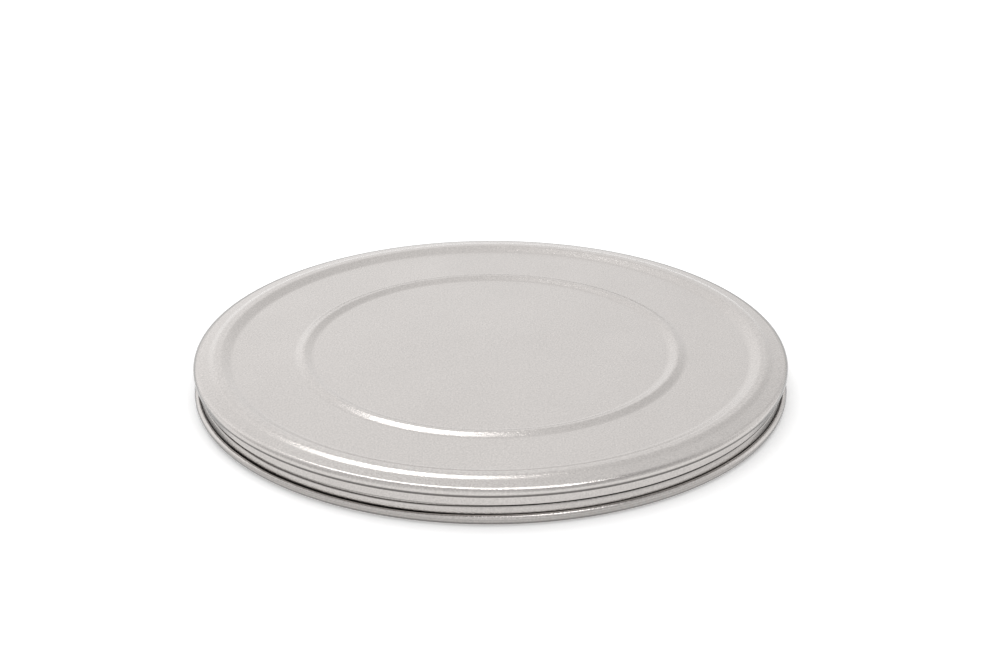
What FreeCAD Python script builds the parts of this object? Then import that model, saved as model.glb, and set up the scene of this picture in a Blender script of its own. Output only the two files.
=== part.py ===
"""A shut flat round tin of plain tinplate, in two pressed pieces, in millimetres.

The lid is one sheet, drawn into a shallow cap: a flat panel with two raised rings, a
shoulder that stands above the panel and falls a little toward the rim, a rolled rim that
stands out past the wall, and a short straight skirt.  The base has a standing rim of the
same size, a short wall that is flush with the skirt, and a neck that the lid slips over.
The tin is shut, so the base is solid up to the underside of the lid's panel.

+Z is up.  The origin is the centre of the ring that the tin stands on.
"""

import FreeCAD, Part
import math
import os

# Whole tin
RIM_DIAMETER = 130.0        # across either rolled rim
SHOULDER_HEIGHT = 8.6       # from the standing ring up to the shoulder, at the outer ring
SHEET = 0.3                 # thickness of the tinplate

# What the wall and the two rims share
RIM_OVERHANG = 1.1          # how far a rim stands out past the straight wall
JOINT_HEIGHT = 4.2          # the lid's cut edge, above the standing ring
JOINT_GAP = 0.25            # open line between the cut edge and the base's ledge
SLIP_CLEARANCE = 0.15       # between the skirt and the neck, all round

# Lid
PANEL_DEPTH = 0.55          # from the shoulder's height down to the panel
SHOULDER_FALL = 0.45        # from the outer ring out to the rim
LID_RIM_HEIGHT = 2.0        # from the shoulder's outer edge down to the rim's underside
LID_RIM_TOP_BEND = 0.6      # inside radius where the shoulder turns down
LID_RIM_LOWER_BEND = 0.2    # inside radius where the rim turns in
SKIRT_BEND = 0.25           # inside radius where the skirt leaves the rim

# Raised rings of the lid, each measured on the outer face of the sheet
INNER_RING_RADIUS = 41.0
INNER_RING_WIDTH = 3.5      # across the feet of the ring
INNER_CREST_WIDTH = 0.9     # between the crest's corners, before they are rounded
INNER_RING_HEIGHT = 0.6     # above the panel
OUTER_RING_INSET = 5.3      # from the rim in to the middle of the outer ring
OUTER_RING_WIDTH = 3.9
OUTER_CREST_WIDTH = 1.5
OUTER_RING_HEIGHT = 0.5     # above the shoulder
RING_CREST_BEND = 1.3       # inside radius of a crest's two bends
RING_FOOT_BEND = 1.1        # inside radius of a foot's two bends

# Base
BASE_RIM_HEIGHT = 2.3
BASE_RIM_ROUND = 0.8        # radius of the rim's upper and lower round
CREVICE_WIDTH = 0.1         # between the rim's rolled edge and the wall
CREVICE_DEPTH = 0.4
ROLLED_EDGE_ROUND = 0.15    # radius of the rolled edge beside the crevice
LEDGE_ROUND = 0.3           # radius of the wall's top edge, under the lid's cut edge
NECK_ROUND = 0.5            # radius of the neck's top edge
BOTTOM_RECESS = 0.7         # how far the bottom panel lies above the standing ring
STANDING_WIDTH = 0.9        # flat width of the ring that the tin stands on
BOTTOM_BEND = 0.5           # rounds between the standing ring and the bottom panel
BOTTOM_SLOPE_RUN = 0.9      # how far in the slope to the bottom panel reaches

RIM_RADIUS = RIM_DIAMETER / 2
WALL_RADIUS = RIM_RADIUS - RIM_OVERHANG
OUTER_RING_RADIUS = RIM_RADIUS - OUTER_RING_INSET
PANEL_HEIGHT = SHOULDER_HEIGHT - PANEL_DEPTH
MEETING_DISTANCE = 0.000001     # points nearer than this are one


def section_point(radius, height):
    """A point of the half section, in the plane that holds the tin's axis."""
    return FreeCAD.Vector(radius, 0, height)


def right_normal(start, end):
    """Unit vector to the right of the run from start to end, seen with +Z up and +X right."""
    run = end - start
    run.normalize()
    return FreeCAD.Vector(run.z, 0, -run.x)


def shifted_right(points, distance):
    """The corners of the line that runs at a set distance to the right of the given one."""
    normals = [right_normal(a, b) for a, b in zip(points, points[1:])]
    shifted = [points[0] + normals[0] * distance]
    for point, before, after in zip(points[1:-1], normals, normals[1:]):
        mitre = (before + after) * (distance / (1 + before.dot(after)))
        shifted.append(point + mitre)
    shifted.append(points[-1] + normals[-1] * distance)
    return shifted


def turns_right(before, corner, after):
    """Whether the line turns to the right at the corner."""
    return right_normal(before, corner).dot(after - corner) > 0


def straight_run(start, end):
    """A straight edge from start to end, or none where two arcs use up the whole run."""
    if start.isEqual(end, MEETING_DISTANCE):
        return []
    return [Part.LineSegment(start, end).toShape()]


def rounded_line(points, radii):
    """Straight runs joined by tangent arcs, with one radius for each inner point."""
    edges = []
    start = points[0]
    for before, corner, after, radius in zip(points, points[1:], points[2:], radii):
        back = before - corner
        ahead = after - corner
        back.normalize()
        ahead.normalize()
        half_angle = back.getAngle(ahead) / 2
        reach = radius / math.tan(half_angle)
        arc_start = corner + back * reach
        arc_end = corner + ahead * reach
        edges += straight_run(start, arc_start)
        if radius > 0:
            bisector = back + ahead
            bisector.normalize()
            arc_middle = corner + bisector * (radius / math.sin(half_angle) - radius)
            edges.append(Part.Arc(arc_start, arc_middle, arc_end).toShape())
        start = arc_end
    return edges + straight_run(start, points[-1])


def revolved(edges):
    """A full turn of the closed half section about the tin's axis."""
    face = Part.Face(Part.Wire(edges))
    return face.revolve(FreeCAD.Vector(0, 0, 0), FreeCAD.Vector(0, 0, 1), 360)


def pressed_sheet(points, bends):
    """A sheet of constant thickness whose outer face follows the points.

    Each bend is the radius on the inside of its turn.  The other face gets that radius plus
    the thickness, so both faces turn about one centre, as they do in a press.
    """
    outer_radii = []
    inner_radii = []
    for before, corner, after, bend in zip(points, points[1:], points[2:], bends):
        if turns_right(before, corner, after):
            outer_radii.append(bend + SHEET)
            inner_radii.append(bend)
        else:
            outer_radii.append(bend)
            inner_radii.append(bend + SHEET)
    inner_points = shifted_right(points, SHEET)
    outer_edges = rounded_line(points, outer_radii)
    inner_edges = rounded_line(inner_points, inner_radii)
    cut_edge = Part.LineSegment(points[-1], inner_points[-1]).toShape()
    axis_edge = Part.LineSegment(inner_points[0], points[0]).toShape()
    return revolved(outer_edges + [cut_edge] + inner_edges[::-1] + [axis_edge])


def ring_corners(ring_radius, width, crest_width, crest_height, outer_height):
    """Outer-face corners of one raised ring, from its foot on the panel to its outer foot."""
    half_foot = width / 2
    half_crest = crest_width / 2
    return [
        section_point(ring_radius - half_foot, PANEL_HEIGHT),
        section_point(ring_radius - half_crest, crest_height),
        section_point(ring_radius + half_crest, crest_height),
        section_point(ring_radius + half_foot, outer_height),
    ]


def make_lid():
    """The lid: panel, two rings, shoulder, rolled rim and skirt, in one sheet."""
    inner_crest = PANEL_HEIGHT + INNER_RING_HEIGHT
    outer_crest = SHOULDER_HEIGHT + OUTER_RING_HEIGHT
    rim_top = SHOULDER_HEIGHT - SHOULDER_FALL
    rim_underside = rim_top - LID_RIM_HEIGHT
    ring_bends = [RING_FOOT_BEND, RING_CREST_BEND, RING_CREST_BEND, RING_FOOT_BEND]
    points = [section_point(0, PANEL_HEIGHT)]
    points += ring_corners(INNER_RING_RADIUS, INNER_RING_WIDTH, INNER_CREST_WIDTH,
                           inner_crest, PANEL_HEIGHT)
    points += ring_corners(OUTER_RING_RADIUS, OUTER_RING_WIDTH, OUTER_CREST_WIDTH,
                           outer_crest, SHOULDER_HEIGHT)
    points += [
        section_point(RIM_RADIUS, rim_top),
        section_point(RIM_RADIUS, rim_underside),
        section_point(WALL_RADIUS, rim_underside),
        section_point(WALL_RADIUS, JOINT_HEIGHT),
    ]
    bends = ring_bends + ring_bends + [LID_RIM_TOP_BEND, LID_RIM_LOWER_BEND, SKIRT_BEND]
    return pressed_sheet(points, bends)


def make_base():
    """The base: bottom panel, rolled rim, wall, ledge and neck, solid inside."""
    ledge_height = JOINT_HEIGHT - JOINT_GAP
    neck_radius = WALL_RADIUS - SHEET - SLIP_CLEARANCE
    neck_top = PANEL_HEIGHT - SHEET
    crevice_floor = BASE_RIM_HEIGHT - CREVICE_DEPTH
    rolled_edge = WALL_RADIUS + CREVICE_WIDTH
    rim_width = RIM_RADIUS - rolled_edge - ROLLED_EDGE_ROUND
    rim_round = min(BASE_RIM_ROUND, rim_width, BASE_RIM_HEIGHT / 2)
    standing_outer = RIM_RADIUS - rim_round
    standing_inner = standing_outer - STANDING_WIDTH
    panel_edge = standing_inner - BOTTOM_SLOPE_RUN
    points = [
        section_point(0, BOTTOM_RECESS),
        section_point(panel_edge, BOTTOM_RECESS),
        section_point(standing_inner, 0),
        section_point(RIM_RADIUS, 0),
        section_point(RIM_RADIUS, BASE_RIM_HEIGHT),
        section_point(rolled_edge, BASE_RIM_HEIGHT),
        section_point(rolled_edge, crevice_floor),
        section_point(WALL_RADIUS, crevice_floor),
        section_point(WALL_RADIUS, ledge_height),
        section_point(neck_radius, ledge_height),
        section_point(neck_radius, neck_top),
        section_point(0, neck_top),
    ]
    radii = [BOTTOM_BEND, BOTTOM_BEND, rim_round, rim_round, ROLLED_EDGE_ROUND, 0, 0]
    radii += [LEDGE_ROUND, 0, NECK_ROUND]
    axis_edge = Part.LineSegment(points[-1], points[0]).toShape()
    return revolved(rounded_line(points, radii) + [axis_edge])


def main():
    os.makedirs("parts", exist_ok=True)
    for name, shape in (("lid", make_lid()), ("base", make_base())):
        shape.exportStep("parts/" + name + ".step")
        print(name, "valid", shape.isValid(), "volume", round(shape.Volume, 2))


main()
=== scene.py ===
"""The looks of a shut flat round tin of bare tinplate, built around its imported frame.

Everything is in metres, with +Z up along the tin's axis.  The lid and the base are surfaces of
revolution: a rounded half section, carried round the axis and changed a little where the joint
between them stands open.  The studio is a pale floor under soft light.
"""

import math

import bpy
import numpy as np
from bpy.props import FloatProperty, FloatVectorProperty, IntProperty, PointerProperty
from mathutils import Matrix, Vector


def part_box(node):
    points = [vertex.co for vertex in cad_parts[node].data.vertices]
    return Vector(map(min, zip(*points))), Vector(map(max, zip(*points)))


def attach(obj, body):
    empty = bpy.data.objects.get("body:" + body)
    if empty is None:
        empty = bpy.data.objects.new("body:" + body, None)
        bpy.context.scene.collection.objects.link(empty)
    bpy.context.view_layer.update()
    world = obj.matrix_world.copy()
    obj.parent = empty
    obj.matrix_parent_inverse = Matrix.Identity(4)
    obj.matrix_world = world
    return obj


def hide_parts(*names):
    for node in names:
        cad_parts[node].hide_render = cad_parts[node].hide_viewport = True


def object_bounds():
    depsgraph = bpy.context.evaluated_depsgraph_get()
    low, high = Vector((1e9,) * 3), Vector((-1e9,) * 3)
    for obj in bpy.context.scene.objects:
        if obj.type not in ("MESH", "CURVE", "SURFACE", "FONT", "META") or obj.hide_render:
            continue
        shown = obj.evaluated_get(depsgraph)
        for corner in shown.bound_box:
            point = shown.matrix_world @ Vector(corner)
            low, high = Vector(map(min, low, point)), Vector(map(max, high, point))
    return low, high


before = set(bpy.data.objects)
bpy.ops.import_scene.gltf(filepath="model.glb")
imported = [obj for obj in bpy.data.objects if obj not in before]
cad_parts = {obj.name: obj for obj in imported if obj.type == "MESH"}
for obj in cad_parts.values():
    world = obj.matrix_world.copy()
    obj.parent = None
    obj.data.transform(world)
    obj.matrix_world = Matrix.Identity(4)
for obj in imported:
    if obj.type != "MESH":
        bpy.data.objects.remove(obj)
CAD_LOW, CAD_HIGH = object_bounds()
LID_LOW, LID_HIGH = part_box("lid")
BASE_LOW, BASE_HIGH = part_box("base")

bl_info = {
    "name": "Flat Round Tin",
    "version": (1, 0, 0),
    "blender": (4, 5, 0),
    "location": "View3D > Sidebar > Tin",
    "description": "Builds a shut flat round tin of bare tinplate and the studio it stands in",
    "category": "Add Mesh",
}

MM = 0.001
RIM_RADIUS = min(-CAD_LOW.x, CAD_HIGH.x, -CAD_LOW.y, CAD_HIGH.y)
SUPPORT_STEP = 0.08 * MM     # a straight run gets a point this near each of its ends

# Seeds and numbers of waves of the random curves round the axis.
LID_SEED, BURR_SEED, BASE_SEED = 3, 5, 11
SLOW_WAVES, BURR_WAVES = 40, 190

# Points along each arc of the half sections.
RING_STEPS = [5, 7, 7, 5]
RIM_STEPS = [14, 8, 6]
INNER_RIM_STEPS = [3, 3, 4]
INNER_RING_STEPS = [2, 3, 3, 2]
CUT_EDGE_STEPS = [3, 3]
BASE_STEPS = [5, 5, 14, 14, 5, 2, 2, 6, 3, 5]

# How much painted shade the sheet gets, as (height above the floor in mm, share) stops: on the
# wall, and on the two rims that stand out past it.  It stands for the shade in the joint, in the
# crevice, under the lid's rim and toward the foot.  A lower share all along the wall and the
# rim's face dims their reflection.
WALL_SHADE = ((0.05, 0), (1.7, 1), (2.2, 1), (2.32, 0.27), (3.4, 0.27), (3.6, 0.45),
              (3.9, 0.45), (4.0, 1), (4.2, 1), (4.27, 0.27), (5.9, 0.27), (6.1, 0.8),
              (6.5, 0.8), (6.8, 0))
RIM_SHADE = ((0.05, 1), (0.5, 1), (0.7, 0.75), (0.95, 0.5), (1.2, 0.3), (1.4, 0.5), (1.7, 0.5),
             (2.05, 0), (6.3, 0.2), (6.55, 1), (6.85, 1), (7, 0.3), (7.2, 0.24), (7.9, 0.24),
             (8.05, 0))
SHADE_REACH = 10     # mm, the height at the top of both ramps
# The colour of the painted shade.
SHADE_COLOUR = (0.03, 0.028, 0.025, 1)
# The colour of the painted shade where the tin's side turns away from the camera.
EDGE_SHADE_COLOUR = (0.1, 0.095, 0.09, 1)

# Where a radius counts as rim, and as side, in mm in from the rim: from none to all.
RIM_FROM, RIM_ALL = 0.85, 0.7
SIDE_FROM, SIDE_ALL = 1.4, 1.2

# The surround's brightness, as (share of the direction, brightness) stops: from left to right,
# and from front to back.
ACROSS = ((-1, 1.5), (-0.85, 1.3), (-0.55, 1.2), (-0.2, 1.05), (0, 1.0), (0.15, 0.93),
          (0.35, 0.86), (0.6, 0.85), (0.85, 1.2), (1, 1.5))
FRONT_TO_BACK = ((-1, 1.15), (-0.85, 0.85), (-0.5, 0.75), (-0.3, 0.6), (0.1, 0.6), (0.4, 0.9),
                 (0.6, 0.86), (0.8, 0.86), (0.89, 0.965), (1, 0.965))
FLOOR_REACH = 3.0
SENSOR_WIDTH = 36    # mm


# ---------------------------------------------------------------- sizes and colours


class TinSizes(bpy.types.PropertyGroup):
    """What the lid and the base share."""

    sheet: FloatProperty(
        name="Sheet", description="Thickness of the tinplate",
        default=0.3 * MM, min=0, unit="LENGTH",
    )
    overhang: FloatProperty(
        name="Rim overhang", description="How far each rim stands out past the straight wall",
        default=1.1 * MM, min=0, unit="LENGTH",
    )
    joint_gap: FloatProperty(
        name="Joint gap", description="Open line between the lid's cut edge and the base's ledge",
        default=0.18 * MM, min=0, unit="LENGTH",
    )
    slip: FloatProperty(
        name="Slip clearance", description="Space between the lid's skirt and the base's neck",
        default=0.15 * MM, min=0, unit="LENGTH",
    )
    edge_round: FloatProperty(
        name="Edge round", description="Radius that breaks the sharp edges of the cut sheet",
        default=0.05 * MM, min=0, unit="LENGTH",
    )
    open_middle: FloatProperty(
        name="Open part", description="Where round the axis the joint and the crevice open most",
        default=math.radians(236), subtype="ANGLE",
    )
    open_reach: FloatProperty(
        name="Open reach", description="How far the open part reaches to each side",
        default=math.radians(28), subtype="ANGLE",
    )
    turns: IntProperty(
        name="Steps round", description="Grid steps round the axis",
        default=480, min=24,
    )


class LidSizes(bpy.types.PropertyGroup):
    """The lid's own sizes, on its outer face."""

    inner_ring: FloatProperty(
        name="Inner ring", description="Radius of the inner ring's middle",
        default=41.0 * MM, min=0, unit="LENGTH",
    )
    inner_slope: FloatProperty(
        name="Inner ring slope", description="Run of each slope of the inner ring",
        default=1.63 * MM, min=0, unit="LENGTH",
    )
    inner_crest: FloatProperty(
        name="Inner crest width", description="Between the corners of the inner ring's crest",
        default=0.5 * MM, min=0, unit="LENGTH",
    )
    inner_height: FloatProperty(
        name="Inner ring height", description="How far the inner ring stands above the panel",
        default=0.6 * MM, min=0, unit="LENGTH",
    )
    outer_ring_inset: FloatProperty(
        name="Outer ring inset", description="From the rim in to the outer ring's middle",
        default=5.3 * MM, min=0, unit="LENGTH",
    )
    outer_inward: FloatProperty(
        name="Outer ring inward", description="Run of the outer ring's inner slope",
        default=2.2 * MM, min=0, unit="LENGTH",
    )
    outer_outward: FloatProperty(
        name="Outer ring outward", description="Run of the outer ring's outer slope",
        default=1.2 * MM, min=0, unit="LENGTH",
    )
    outer_crest: FloatProperty(
        name="Outer crest width", description="Between the corners of the outer ring's crest",
        default=1.5 * MM, min=0, unit="LENGTH",
    )
    outer_height: FloatProperty(
        name="Outer ring height", description="How far the outer ring stands above the shoulder",
        default=0.45 * MM, min=0, unit="LENGTH",
    )
    crest_bend: FloatProperty(
        name="Crest bend", description="Radius of a crest's two bends",
        default=2.2 * MM, min=0, unit="LENGTH",
    )
    foot_bend: FloatProperty(
        name="Foot bend", description="Radius of a foot's two bends",
        default=2.4 * MM, min=0, unit="LENGTH",
    )
    panel_depth: FloatProperty(
        name="Panel depth", description="From the shoulder's height down to the panel",
        default=0.45 * MM, min=0, unit="LENGTH",
    )
    shoulder_fall: FloatProperty(
        name="Shoulder fall", description="How far the shoulder falls from the ring to the rim",
        default=0.5 * MM, min=0, unit="LENGTH",
    )
    rim_height: FloatProperty(
        name="Rim height", description="From the shoulder's edge down to the rim's underside",
        default=1.9 * MM, min=0, unit="LENGTH",
    )
    rim_top_bend: FloatProperty(
        name="Rim top bend", description="Radius where the shoulder turns down",
        default=1.1 * MM, min=0, unit="LENGTH",
    )
    rim_lower_bend: FloatProperty(
        name="Rim lower bend", description="Radius where the rim turns in",
        default=0.5 * MM, min=0, unit="LENGTH",
    )
    skirt_bend: FloatProperty(
        name="Skirt bend", description="Radius where the skirt leaves the rim",
        default=0.25 * MM, min=0, unit="LENGTH",
    )
    edge_lift: FloatProperty(
        name="Cut edge lift", description="How far the cut edge rises where the joint opens",
        default=0.05 * MM, min=0, unit="LENGTH",
    )
    burr: FloatProperty(
        name="Burr", description="Depth of the fine raggedness of the cut edge",
        default=0.05 * MM, min=0, unit="LENGTH",
    )


class BaseSizes(bpy.types.PropertyGroup):
    """The base's own sizes."""

    rim_height: FloatProperty(
        name="Rim height", description="Height of the standing rim",
        default=2.3 * MM, min=0, unit="LENGTH",
    )
    rim_round: FloatProperty(
        name="Rim round", description="Radius of the standing rim's upper and lower round",
        default=1.5 * MM, min=0, unit="LENGTH",
    )
    crevice_width: FloatProperty(
        name="Crevice width", description="Between the rim's rolled edge and the wall",
        default=0.1 * MM, min=0, unit="LENGTH",
    )
    crevice_depth: FloatProperty(
        name="Crevice depth", description="Depth of that crevice",
        default=0.4 * MM, min=0, unit="LENGTH",
    )
    crevice_opening: FloatProperty(
        name="Crevice opening", description="Width added where the rolled edge stands off",
        default=0.3 * MM, min=0, unit="LENGTH",
    )
    ledge_drop: FloatProperty(
        name="Ledge drop", description="How far the ledge drops where the joint opens",
        default=0.4 * MM, min=0, unit="LENGTH",
    )
    rim_drop: FloatProperty(
        name="Rim drop", description="How far the standing rim's top drops there",
        default=0.25 * MM, min=0, unit="LENGTH",
    )
    rolled_round: FloatProperty(
        name="Rolled edge round", description="Radius of the rolled edge beside the crevice",
        default=0.15 * MM, min=0, unit="LENGTH",
    )
    ledge_round: FloatProperty(
        name="Ledge round", description="Radius where the ledge turns down into the wall",
        default=0.3 * MM, min=0, unit="LENGTH",
    )
    neck_round: FloatProperty(
        name="Neck round", description="Radius of the neck's top edge",
        default=0.5 * MM, min=0, unit="LENGTH",
    )
    recess: FloatProperty(
        name="Bottom recess", description="How far the bottom panel lies above the standing ring",
        default=0.7 * MM, min=0, unit="LENGTH",
    )
    standing_width: FloatProperty(
        name="Standing width", description="Flat width of the ring that the tin stands on",
        default=0.9 * MM, min=0, unit="LENGTH",
    )
    slope_run: FloatProperty(
        name="Bottom slope", description="How far in the slope to the bottom panel reaches",
        default=0.9 * MM, min=0, unit="LENGTH",
    )
    bottom_bend: FloatProperty(
        name="Bottom bend", description="Radius of the bends on both sides of that slope",
        default=0.5 * MM, min=0, unit="LENGTH",
    )


class Finish(bpy.types.PropertyGroup):
    """The bare tinplate."""

    colour: FloatVectorProperty(
        name="Tin colour", description="Reflected colour of the bare sheet",
        default=(0.63, 0.6, 0.58), size=3, min=0, max=1, subtype="COLOR",
    )
    roughness: FloatProperty(
        name="Roughness", description="How far the matte sheet spreads a reflection",
        default=0.15, min=0, max=1, subtype="FACTOR",
    )
    grain_size: FloatProperty(
        name="Grain size", description="Size of the fine grain rolled into the sheet",
        default=0.33 * MM, min=0, unit="LENGTH",
    )
    grain_depth: FloatProperty(
        name="Grain depth", description="Depth of that grain",
        default=0.04 * MM, min=0, unit="LENGTH",
    )
    grain_tone: FloatProperty(
        name="Grain tone", description="How much lighter and darker the grain makes the sheet",
        default=0.6, min=0, max=1, subtype="FACTOR",
    )
    painted_shade: FloatProperty(
        name="Painted shade", description="How much darker the sheet is in the joint and the crevice",
        default=0.8, min=0, max=1, subtype="FACTOR",
    )
    edge_shade: FloatProperty(
        name="Edge shade", description="How much darker the sheet is where it turns away",
        default=0.75, min=0, max=1, subtype="FACTOR",
    )


class Studio(bpy.types.PropertyGroup):
    """Floor, light and camera."""

    floor_colour: FloatVectorProperty(
        name="Floor colour", description="Colour of the pale floor",
        default=(0.93, 0.93, 0.93), size=3, min=0, max=1, subtype="COLOR",
    )
    floor_glow: FloatProperty(
        name="Floor glow", description="Light that the floor gives off, as a lit table does",
        default=0.25, min=0,
    )
    surround: FloatProperty(
        name="Surround", description="Brightness of the even light from all sides",
        default=1.0, min=0,
    )
    lamp_place: FloatVectorProperty(
        name="Overhead light", description="Middle of the overhead soft light",
        default=(0.0, -0.01, 0.5), size=3, subtype="TRANSLATION", unit="LENGTH",
    )
    lamp_size: FloatVectorProperty(
        name="Light size", description="Width and length of the overhead soft light",
        default=(0.16, 0.69), size=2, min=0, unit="LENGTH",
    )
    lamp_turn: FloatProperty(
        name="Light turn", description="Turn of the overhead soft light about the upright",
        default=math.radians(43.7), subtype="ANGLE",
    )
    lamp_radiance: FloatProperty(
        name="Light brightness", description="Radiance of the overhead soft light",
        default=2.5, min=0,
    )
    lens: FloatProperty(
        name="Lens", description="Focal length of the camera in millimetres",
        default=79.8, min=1,
    )
    distance: FloatProperty(
        name="Distance", description="From the camera to the middle of the lid",
        default=487.5 * MM, min=0, unit="LENGTH",
    )
    elevation: FloatProperty(
        name="Elevation", description="Height of the camera above the horizon",
        default=math.radians(24.63), subtype="ANGLE",
    )
    aim_right: FloatProperty(
        name="Aim right", description="How far right of the lid's middle the camera aims",
        default=math.radians(0.24), subtype="ANGLE",
    )
    aim_up: FloatProperty(
        name="Aim up", description="How far above the lid's middle the camera aims",
        default=math.radians(0.415), subtype="ANGLE",
    )
    roll: FloatProperty(
        name="Roll", description="Turn of the camera about its line of sight",
        default=math.radians(-0.139), subtype="ANGLE",
    )


# ---------------------------------------------------------------- half sections


def shifted_right(corners, distance):
    """The corners of the line at a set distance to the right of the given one.

    Each inner corner moves by (n1 + n2) * distance / (1 + n1.n2), where n1 and n2 are the unit
    normals to the right of the runs before and after it.
    """
    runs = np.diff(corners, axis=0)
    runs /= np.linalg.norm(runs, axis=1)[:, None]
    normals = np.column_stack([runs[:, 1], -runs[:, 0]])
    before = np.vstack([normals[:1], normals])
    after = np.vstack([normals, normals[-1:]])
    spread = 1 + np.sum(before * after, axis=1)
    return corners + (before + after) * (distance / spread)[:, None]


def rounded_profile(corners, radii, steps):
    """Points along a line of straight runs joined by tangent arcs.

    At a corner with unit vectors a and b back and ahead, and half angle h between them, the arc
    of radius r starts r / tan(h) along a and ends as far along b.  Its centre lies r / sin(h)
    along the bisector, and its points turn evenly about that centre.
    """
    points = [corners[0]]
    for index, (radius, count) in enumerate(zip(radii, steps), start=1):
        corner = corners[index]
        back = corners[index - 1] - corner
        ahead = corners[index + 1] - corner
        back = back / np.linalg.norm(back)
        ahead = ahead / np.linalg.norm(ahead)
        half_angle = math.acos(np.clip(back @ ahead, -1, 1)) / 2
        reach = radius / math.tan(half_angle)
        start = corner + back * reach
        end = corner + ahead * reach
        bisector = (back + ahead) / np.linalg.norm(back + ahead)
        centre = corner + bisector * radius / math.sin(half_angle)
        first = start - centre
        last = end - centre
        sweep = math.pi - 2 * half_angle
        part = np.linspace(0, 1, count + 1)[:, None]
        toward = np.sin((1 - part) * sweep) * first + np.sin(part * sweep) * last
        arc = centre + toward / math.sin(sweep)
        points += supports(points[-1], arc[0])
        points += list(arc)
    points += supports(points[-1], corners[-1])
    points.append(corners[-1])
    return np.array(points)


def supports(start, end):
    """Two points on a straight run, near its ends, that keep it flat under smooth shading."""
    length = np.linalg.norm(end - start)
    along = (end - start) / length * min(SUPPORT_STEP, length / 4)
    return [start + along, end - along]


def ring_corners(radius, crest, inward, outward, levels):
    """Corners of one raised ring, from its inner foot to its outer foot."""
    inside, top, outside = levels
    return [
        (radius - crest / 2 - inward, inside),
        (radius - crest / 2, top),
        (radius + crest / 2, top),
        (radius + crest / 2 + outward, outside),
    ]


def lid_profile(tin, lid, edge):
    """The lid's half section: outer face, cut edge and inner face, from axis to axis.

    The inner face is the outer face's corners moved by the sheet's thickness.  Its bends turn
    about the outer face's centres, so each radius grows by the thickness where the sheet turns
    up and shrinks by it where the sheet turns down.
    """
    wall = RIM_RADIUS - tin.overhang
    shoulder = LID_HIGH.z - lid.outer_height
    panel = shoulder - lid.panel_depth
    rim_top = shoulder - lid.shoulder_fall
    underside = rim_top - lid.rim_height
    outer_ring = RIM_RADIUS - lid.outer_ring_inset
    corners = [(0, panel)]
    corners += ring_corners(lid.inner_ring, lid.inner_crest, lid.inner_slope, lid.inner_slope,
                            (panel, panel + lid.inner_height, panel))
    corners += ring_corners(outer_ring, lid.outer_crest, lid.outer_inward, lid.outer_outward,
                            (panel, LID_HIGH.z, shoulder))
    corners += [(RIM_RADIUS, rim_top), (RIM_RADIUS, underside), (wall, underside), (wall, edge)]
    corners = np.array(corners, float)
    # The inner ring's narrow crest takes tighter bends than the outer ring's wide one.
    low_ring = [lid.foot_bend, lid.crest_bend / 2, lid.crest_bend / 2, lid.foot_bend]
    high_ring = [lid.foot_bend, lid.crest_bend * 0.75, lid.crest_bend, lid.foot_bend]
    radii = low_ring + high_ring + [lid.rim_top_bend, lid.rim_lower_bend, lid.skirt_bend]
    ring_turns, rim_turns = [1, -1, -1, 1], [-1, -1, 1]
    turns = ring_turns * 2 + rim_turns
    inner = shifted_right(corners, tin.sheet)[::-1]
    inner_radii = [r + t * tin.sheet for r, t in zip(radii, turns)][::-1]
    line = np.vstack([corners, inner])
    all_radii = radii + [tin.edge_round, tin.edge_round] + inner_radii
    steps = (RING_STEPS * 2 + RIM_STEPS + CUT_EDGE_STEPS
             + INNER_RIM_STEPS + INNER_RING_STEPS * 2)
    return rounded_profile(line, all_radii, steps)


def base_profile(tin, base, share):
    """The base's half section, from the axis at the bottom to the axis at the neck's top.

    The share says how far the joint and the crevice stand open, from 0 to 1.
    """
    wall = RIM_RADIUS - tin.overhang
    neck = wall - tin.sheet - tin.slip
    ledge = LID_LOW.z - tin.joint_gap - share * base.ledge_drop
    crevice_width = base.crevice_width + share * base.crevice_opening
    rolled = wall + crevice_width
    rim_top = base.rim_height - share * base.rim_drop
    crevice_floor = rim_top - base.crevice_depth
    upper_round = min(base.rim_round, RIM_RADIUS - rolled - base.rolled_round - SUPPORT_STEP)
    standing_inner = RIM_RADIUS - base.rim_round - base.standing_width
    corners = np.array([
        (0, base.recess),
        (standing_inner - base.slope_run, base.recess),
        (standing_inner, 0),
        (RIM_RADIUS, 0),
        (RIM_RADIUS, rim_top),
        (rolled, rim_top),
        (rolled, crevice_floor),
        (wall, crevice_floor),
        (wall, ledge),
        (neck, ledge),
        (neck, BASE_HIGH.z),
        (0, BASE_HIGH.z),
    ])
    radii = [base.bottom_bend, base.bottom_bend, base.rim_round, upper_round]
    floor_round = crevice_width / 5
    radii += [base.rolled_round, floor_round, floor_round]
    radii += [base.ledge_round, tin.edge_round, base.neck_round]
    return rounded_profile(corners, radii, BASE_STEPS)


# ---------------------------------------------------------------- meshes


def wander(turns, seed, waves):
    """A seeded closed curve round the axis, from 0 to 1: a sum of cosines.

    w(u) = sum over k of cos(k u + p_k) / sqrt(k), with random phases p_k, then spread to 0..1.
    """
    angle = np.linspace(0, 2 * math.pi, turns, endpoint=False)
    order = np.arange(1, waves + 1)[:, None]
    phase = np.random.default_rng(seed).uniform(0, 2 * math.pi, (waves, 1))
    curve = np.sum(np.cos(order * angle + phase) / np.sqrt(order), axis=0)
    return (curve - curve.min()) / np.ptp(curve)


def opened(turns, seed, middle, reach):
    """How far a joint stands open round the axis, from 0 to 1.

    g(u) = exp(-(d / reach)^4) * (0.7 + 0.3 w(u)) + 0.12 w(u), where d is the turn between u
    and the middle of the open part and w is a wandering curve.
    """
    angle = np.linspace(0, 2 * math.pi, turns, endpoint=False)
    apart = np.abs((angle - middle + math.pi) % (2 * math.pi) - math.pi)
    rough = wander(turns, seed, SLOW_WAVES)
    return np.clip(np.exp(-(apart / reach) ** 4) * (0.7 + 0.3 * rough) + 0.12 * rough, 0, 1)


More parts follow.
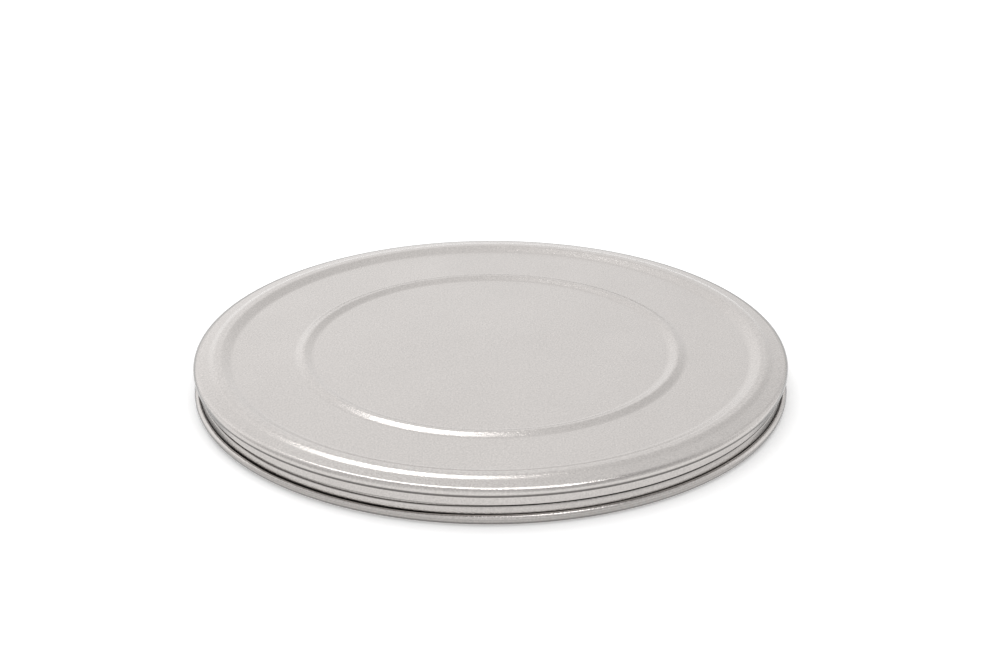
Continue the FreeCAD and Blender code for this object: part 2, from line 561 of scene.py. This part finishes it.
def blended(shut, open_, share):
    """One half section for each step round: p(u) = shut + (open - shut) * share(u)."""
    return shut[:, None] + (open_ - shut)[:, None] * share[None, :, None]


def turned_mesh(name, sections):
    """A closed surface round the axis with one vertex at each pole.

    x = r cos(u), y = r sin(u), z = h, where (r, h) runs along the half section at u and u
    goes once round the axis.  The half section has the piece's outside on its left, so that the
    faces point outwards.
    """
    rows, turns = sections.shape[0] - 2, sections.shape[1]
    angle = np.linspace(0, 2 * math.pi, turns, endpoint=False)
    radius, height = sections[1:-1, :, 0], sections[1:-1, :, 1]
    grid = np.stack([radius * np.cos(angle), radius * np.sin(angle), height], axis=-1)
    poles = np.array([(0, 0, sections[0, 0, 1]), (0, 0, sections[-1, 0, 1])])
    points = np.vstack([poles, grid.reshape(-1, 3)])

    here = np.arange(turns)
    there = (here + 1) % turns
    row = 2 + turns * np.arange(rows - 1)[:, None]
    quads = np.stack([row + here, row + turns + here, row + turns + there, row + there], axis=-1)
    last = 2 + turns * (rows - 1)
    first_fan = np.stack([np.zeros_like(here), 2 + here, 2 + there], axis=-1)
    last_fan = np.stack([np.ones_like(here), last + there, last + here], axis=-1)

    mesh = bpy.data.meshes.new(name)
    faces = quads.reshape(-1, 4).tolist() + first_fan.tolist() + last_fan.tolist()
    mesh.from_pydata(points, [], faces)
    mesh.shade_smooth()
    mesh.validate()
    return mesh


def add_piece(name, mesh, material, node):
    """Puts a finished mesh into the scene in place of a node of the frame."""
    piece = bpy.data.objects.new(name, mesh)
    bpy.context.scene.collection.objects.link(piece)
    mesh.materials.append(material)
    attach(piece, "root")
    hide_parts(node)
    return piece


# ---------------------------------------------------------------- materials


def add_node(tree, kind, place, **values):
    """A node of a kind at a place in the tree, with values for its named inputs."""
    node = tree.nodes.new(kind)
    node.location = place
    for key, value in values.items():
        node.inputs[key.replace("_", " ")].default_value = value
    return node


def grain_group():
    """Node group: the fine grain of rolled tinplate, as a height and a tone, both from 0 to 1."""
    group = bpy.data.node_groups.get("Tinplate Grain")
    if group:
        return group
    group = bpy.data.node_groups.new("Tinplate Grain", "ShaderNodeTree")
    face = group.interface
    face.new_socket("Grain Size", in_out="INPUT", socket_type="NodeSocketFloat")
    face.new_socket("Height", in_out="OUTPUT", socket_type="NodeSocketFloat")
    face.new_socket("Tone", in_out="OUTPUT", socket_type="NodeSocketFloat")
    inlet = add_node(group, "NodeGroupInput", (-900, 0))
    outlet = add_node(group, "NodeGroupOutput", (400, 0))
    coords = add_node(group, "ShaderNodeTexCoord", (-900, -200))
    inverse = add_node(group, "ShaderNodeMath", (-700, 0))
    inverse.operation = "DIVIDE"
    inverse.inputs[0].default_value = 1
    noise = add_node(group, "ShaderNodeTexNoise", (-400, 100), Detail=2, Roughness=0.6)
    cloud = add_node(group, "ShaderNodeTexNoise", (-400, -200), Scale=60, Detail=3)
    mixed = add_node(group, "ShaderNodeMath", (-100, -100))
    mixed.operation = "MULTIPLY_ADD"
    mixed.inputs[1].default_value = 0.15
    link = group.links.new
    link(inlet.outputs["Grain Size"], inverse.inputs[1])
    link(inverse.outputs[0], noise.inputs["Scale"])
    link(coords.outputs["Object"], noise.inputs["Vector"])
    link(coords.outputs["Object"], cloud.inputs["Vector"])
    link(noise.outputs["Fac"], outlet.inputs["Height"])
    link(cloud.outputs["Fac"], mixed.inputs[0])
    link(noise.outputs["Fac"], mixed.inputs[2])
    link(mixed.outputs[0], outlet.inputs["Tone"])
    return group


def painted_shade_group():
    """Node group: a mask of painted shade in the joint, in the crevice, under the rims and toward
    the foot.

    It runs through one set of heights on the wall and another on the two rims.  A second mask
    is 1 on the tin's side, which is everything outside the shoulder.
    """
    group = bpy.data.node_groups.get("Joint Shade")
    if group:
        return group
    group = bpy.data.node_groups.new("Joint Shade", "ShaderNodeTree")
    for name in ("Mask", "Side"):
        group.interface.new_socket(name, in_out="OUTPUT", socket_type="NodeSocketFloat")
    outlet = add_node(group, "NodeGroupOutput", (600, 0))
    coords = add_node(group, "ShaderNodeTexCoord", (-900, 0))
    split = add_node(group, "ShaderNodeSeparateXYZ", (-700, 100))
    flat = add_node(group, "ShaderNodeVectorMath", (-700, -200))
    flat.operation = "MULTIPLY"
    flat.inputs[1].default_value = (1, 1, 0)
    radius = add_node(group, "ShaderNodeVectorMath", (-500, -200))
    radius.operation = "LENGTH"
    share = add_node(group, "ShaderNodeMath", (-500, 100))
    share.operation = "DIVIDE"
    share.inputs[1].default_value = SHADE_REACH * MM
    on_wall = add_bands(group, (-300, 300), WALL_SHADE)
    on_rims = add_bands(group, (-300, 50), RIM_SHADE)
    within = add_node(group, "ShaderNodeMapRange", (-300, -200))
    within.inputs["From Min"].default_value = RIM_RADIUS - RIM_ALL * MM
    within.inputs["From Max"].default_value = RIM_RADIUS - RIM_FROM * MM
    side = add_node(group, "ShaderNodeMapRange", (-300, -500))
    side.inputs["From Min"].default_value = RIM_RADIUS - SIDE_FROM * MM
    side.inputs["From Max"].default_value = RIM_RADIUS - SIDE_ALL * MM
    link = group.links.new
    link(radius.outputs["Value"], side.inputs["Value"])
    link(side.outputs["Result"], outlet.inputs["Side"])
    link(coords.outputs["Object"], split.inputs[0])
    link(coords.outputs["Object"], flat.inputs[0])
    link(flat.outputs[0], radius.inputs[0])
    link(split.outputs["Z"], share.inputs[0])
    link(share.outputs[0], on_wall.inputs["Fac"])
    link(share.outputs[0], on_rims.inputs["Fac"])
    link(radius.outputs["Value"], within.inputs["Value"])
    mask = add_mix(group, (0, 0), "MIX", within.outputs["Result"],
                   on_rims.outputs["Color"], on_wall.outputs["Color"])
    link(mask, outlet.inputs["Mask"])
    return group


def add_bands(tree, place, stops):
    """A ramp over heights from 0 to the painted shade's reach, through (height in mm, value) stops.
    """
    node = add_node(tree, "ShaderNodeValToRGB", place)
    elements = node.color_ramp.elements
    elements[0].color = elements[1].color = (0, 0, 0, 1)
    for height, value in stops:
        elements.new(height / SHADE_REACH).color = (value, value, value, 1)
    return node


def add_mix(tree, place, blend, factor, first, second):
    """A colour mix node; factor, first and second are values, colours or output sockets."""
    node = tree.nodes.new("ShaderNodeMix")
    node.data_type = "RGBA"
    node.blend_type = blend
    node.location = place
    for socket, value in zip((node.inputs[0], node.inputs[6], node.inputs[7]),
                             (factor, first, second)):
        if isinstance(value, bpy.types.NodeSocket):
            tree.links.new(value, socket)
        else:
            socket.default_value = value
    return node.outputs[2]


def tinplate_material(name, finish):
    """Bare matte tinplate with fine grain, and painted shade in the joints and where its side turns
    away.
    """
    material = bpy.data.materials.new(name)
    material.use_nodes = True
    tree = material.node_tree
    tree.nodes.clear()
    link = tree.links.new
    outlet = add_node(tree, "ShaderNodeOutputMaterial", (700, 0))
    shader = add_node(tree, "ShaderNodeBsdfPrincipled", (400, 0))
    shader.inputs["Roughness"].default_value = finish.roughness
    grain = add_node(tree, "ShaderNodeGroup", (-800, 0))
    grain.node_tree = grain_group()
    grain.inputs["Grain Size"].default_value = finish.grain_size
    painted_shade = add_node(tree, "ShaderNodeGroup", (-800, -300))
    painted_shade.node_tree = painted_shade_group()
    spread = add_node(tree, "ShaderNodeMapRange", (-600, 100))
    spread.inputs["To Min"].default_value = 1 - finish.grain_tone / 2
    spread.inputs["To Max"].default_value = 1 + finish.grain_tone / 2
    link(grain.outputs["Tone"], spread.inputs["Value"])
    # Painted shade: the height mask mixes the sheet's colour toward near black.
    shade_amount = add_node(tree, "ShaderNodeMath", (-600, -300))
    shade_amount.operation = "MULTIPLY"
    shade_amount.inputs[1].default_value = finish.painted_shade
    link(painted_shade.outputs["Mask"], shade_amount.inputs[0])
    # Painted shade: where the side turns away from the camera, the colour goes dark and the sheet
    # less metallic.
    facing = add_node(tree, "ShaderNodeLayerWeight", (-800, -500))
    facing.inputs["Blend"].default_value = 0.5
    away = add_node(tree, "ShaderNodeMapRange", (-600, -500))
    away.inputs["From Min"].default_value = 0.6
    away.inputs["From Max"].default_value = 0.72
    away.inputs["To Max"].default_value = finish.edge_shade
    link(facing.outputs["Facing"], away.inputs["Value"])
    bare = (*finish.colour, 1)
    toned = add_mix(tree, (-350, 100), "MULTIPLY", 1.0, bare, spread.outputs["Result"])
    with_shade = add_mix(tree, (-150, 0), "MIX", shade_amount.outputs[0], toned, SHADE_COLOUR)
    edge = add_node(tree, "ShaderNodeMath", (-350, -500))
    edge.operation = "MULTIPLY"
    link(away.outputs["Result"], edge.inputs[0])
    link(painted_shade.outputs["Side"], edge.inputs[1])
    shaded = add_mix(tree, (50, 0), "MIX", edge.outputs[0], with_shade, EDGE_SHADE_COLOUR)
    metal_share = add_node(tree, "ShaderNodeMath", (50, -250))
    metal_share.operation = "SUBTRACT"
    metal_share.inputs[0].default_value = 1
    link(edge.outputs[0], metal_share.inputs[1])
    link(metal_share.outputs[0], shader.inputs["Metallic"])
    link(shaded, shader.inputs["Base Color"])
    bump = add_node(tree, "ShaderNodeBump", (-100, -300), Strength=1.0, Distance=finish.grain_depth)
    link(grain.outputs["Height"], bump.inputs["Height"])
    link(bump.outputs["Normal"], shader.inputs["Normal"])
    link(shader.outputs["BSDF"], outlet.inputs["Surface"])
    return material


# ---------------------------------------------------------------- operators


class TIN_OT_lid(bpy.types.Operator):
    """Build the lid: one pressed sheet with rings, rim and skirt"""

    bl_idname = "tin.lid"
    bl_label = "Lid"

    def execute(self, context):
        scene = context.scene
        tin, lid = scene.tin_sizes, scene.lid_sizes
        shut = lid_profile(tin, lid, LID_LOW.z)
        lifted = lid_profile(tin, lid, LID_LOW.z + lid.edge_lift)
        share = opened(tin.turns, LID_SEED, tin.open_middle, tin.open_reach)
        share = share + wander(tin.turns, BURR_SEED, BURR_WAVES) * lid.burr / lid.edge_lift
        mesh = turned_mesh("lid_sheet", blended(shut, lifted, share))
        material = tinplate_material("Lid Tinplate", scene.tin_finish)
        add_piece("lid_sheet", mesh, material, "lid")
        return {"FINISHED"}


class TIN_OT_base(bpy.types.Operator):
    """Build the base: standing rim, wall, ledge and neck"""

    bl_idname = "tin.base"
    bl_label = "Base"

    def execute(self, context):
        scene = context.scene
        tin, base = scene.tin_sizes, scene.base_sizes
        shut = base_profile(tin, base, 0)
        wide = base_profile(tin, base, 1)
        share = opened(tin.turns, BASE_SEED, tin.open_middle, tin.open_reach)
        outside_on_left = blended(shut, wide, share)[::-1]
        mesh = turned_mesh("base_pan", outside_on_left)
        material = tinplate_material("Base Tinplate", scene.tin_finish)
        add_piece("base_pan", mesh, material, "base")
        return {"FINISHED"}


class TIN_OT_studio(bpy.types.Operator):
    """Build the studio: pale floor, soft light and camera"""

    bl_idname = "tin.studio"
    bl_label = "Studio"

    def execute(self, context):
        studio = context.scene.tin_studio
        add_floor(studio)
        add_surround(studio)
        add_lights(studio)
        add_camera(studio)
        context.scene.view_settings.view_transform = "Standard"
        return {"FINISHED"}


def add_floor(studio):
    """A plain pale floor that reaches far past the view."""
    signs = ((-1, -1), (1, -1), (1, 1), (-1, 1))
    corners = [(x * FLOOR_REACH, y * FLOOR_REACH, 0) for x, y in signs]
    mesh = bpy.data.meshes.new("floor")
    mesh.from_pydata(corners, [], [(0, 1, 2, 3)])
    material = bpy.data.materials.new("Pale Floor")
    material.use_nodes = True
    shader = material.node_tree.nodes["Principled BSDF"]
    shader.inputs["Base Color"].default_value = (*studio.floor_colour, 1)
    shader.inputs["Roughness"].default_value = 0.8
    shader.inputs["Emission Color"].default_value = (1, 1, 1, 1)
    shader.inputs["Emission Strength"].default_value = studio.floor_glow
    mesh.materials.append(material)
    floor = bpy.data.objects.new("floor", mesh)
    bpy.context.scene.collection.objects.link(floor)


def add_ramp(tree, place, stops):
    """A ramp over a direction's share from -1 to 1, through (share, brightness) stops."""
    node = add_node(tree, "ShaderNodeValToRGB", place)
    elements = node.color_ramp.elements
    for share, value in stops:
        at = (share + 1) / 2
        stop = elements[-1] if at == 1 else elements[0] if at == 0 else elements.new(at)
        stop.color = (value, value, value, 1)
    return node


def add_surround(studio):
    """The light from all sides, a product of two ramps over the direction it comes from.

    One ramp runs from left to right and the other from front to back.
    """
    world = bpy.data.worlds.new("Studio Surround")
    bpy.context.scene.world = world
    world.use_nodes = True
    tree = world.node_tree
    shade = tree.nodes["Background"]
    coords = add_node(tree, "ShaderNodeTexCoord", (-1200, 0))
    split = add_node(tree, "ShaderNodeSeparateXYZ", (-1000, 0))
    link = tree.links.new
    link(coords.outputs["Generated"], split.inputs[0])
    ramps = []
    for axis, stops, low in (("X", ACROSS, 200), ("Y", FRONT_TO_BACK, -200)):
        spread = add_node(tree, "ShaderNodeMapRange", (-800, low))
        spread.inputs["From Min"].default_value = -1
        ramp = add_ramp(tree, (-600, low), stops)
        link(split.outputs[axis], spread.inputs["Value"])
        link(spread.outputs["Result"], ramp.inputs["Fac"])
        ramps.append(ramp)
    product = add_node(tree, "ShaderNodeMath", (-200, 0))
    product.operation = "MULTIPLY"
    strength = add_node(tree, "ShaderNodeMath", (-50, 0))
    strength.operation = "MULTIPLY"
    strength.inputs[1].default_value = studio.surround
    link(ramps[0].outputs["Color"], product.inputs[0])
    link(ramps[1].outputs["Color"], product.inputs[1])
    link(product.outputs[0], strength.inputs[0])
    link(strength.outputs[0], shade.inputs["Strength"])
    shade.inputs["Color"].default_value = (1, 1, 1, 1)


def add_lights(studio):
    """The overhead soft light: a strip turned from back left to front right."""
    lamp = bpy.data.lights.new("overhead", "AREA")
    lamp.shape = "RECTANGLE"
    lamp.size, lamp.size_y = studio.lamp_size
    lamp.energy = studio.lamp_radiance * math.pi * lamp.size * lamp.size_y
    holder = bpy.data.objects.new("overhead", lamp)
    holder.location = studio.lamp_place
    holder.rotation_euler = (0, 0, studio.lamp_turn)
    bpy.context.scene.collection.objects.link(holder)


def add_camera(studio):
    """The camera, aimed a little right of and above the middle of the lid."""
    middle = Vector((0, 0, LID_HIGH.z - 0.75 * MM))
    lift = studio.elevation
    place = middle + studio.distance * Vector((0, -math.cos(lift), math.sin(lift)))
    turn = Matrix.Rotation(math.pi / 2 - lift, 4, "X")
    turn = turn @ Matrix.Rotation(-studio.aim_right, 4, "Y")
    turn = turn @ Matrix.Rotation(studio.aim_up, 4, "X")
    turn = turn @ Matrix.Rotation(studio.roll, 4, "Z")
    lens = bpy.data.cameras.new("camera")
    lens.lens = studio.lens
    lens.sensor_width = SENSOR_WIDTH
    lens.clip_start = 0.01
    camera = bpy.data.objects.new("camera", lens)
    camera.matrix_world = Matrix.Translation(place) @ turn
    bpy.context.scene.collection.objects.link(camera)
    bpy.context.scene.camera = camera


class TIN_PT_panel(bpy.types.Panel):
    """Lists the tin's pieces and their sizes"""

    bl_label = "Flat Round Tin"
    bl_idname = "TIN_PT_panel"
    bl_space_type = "VIEW_3D"
    bl_region_type = "UI"
    bl_category = "Tin"

    def draw(self, context):
        layout = self.layout
        for operator in (TIN_OT_lid, TIN_OT_base, TIN_OT_studio):
            layout.operator(operator.bl_idname)
        for name in SETTINGS:
            settings = getattr(context.scene, name)
            box = layout.box()
            for key in settings.__annotations__:
                box.prop(settings, key)


SETTINGS = {
    "tin_sizes": TinSizes,
    "lid_sizes": LidSizes,
    "base_sizes": BaseSizes,
    "tin_finish": Finish,
    "tin_studio": Studio,
}
CLASSES = (*SETTINGS.values(), TIN_OT_lid, TIN_OT_base, TIN_OT_studio, TIN_PT_panel)


def register():
    for cls in CLASSES:
        bpy.utils.register_class(cls)
    for name, cls in SETTINGS.items():
        setattr(bpy.types.Scene, name, PointerProperty(type=cls))


def unregister():
    for name in SETTINGS:
        delattr(bpy.types.Scene, name)
    for cls in reversed(CLASSES):
        bpy.utils.unregister_class(cls)


def main():
    register()
    bpy.ops.tin.lid()
    bpy.ops.tin.base()
    bpy.ops.tin.studio()


if __name__ == "__main__":
    main()
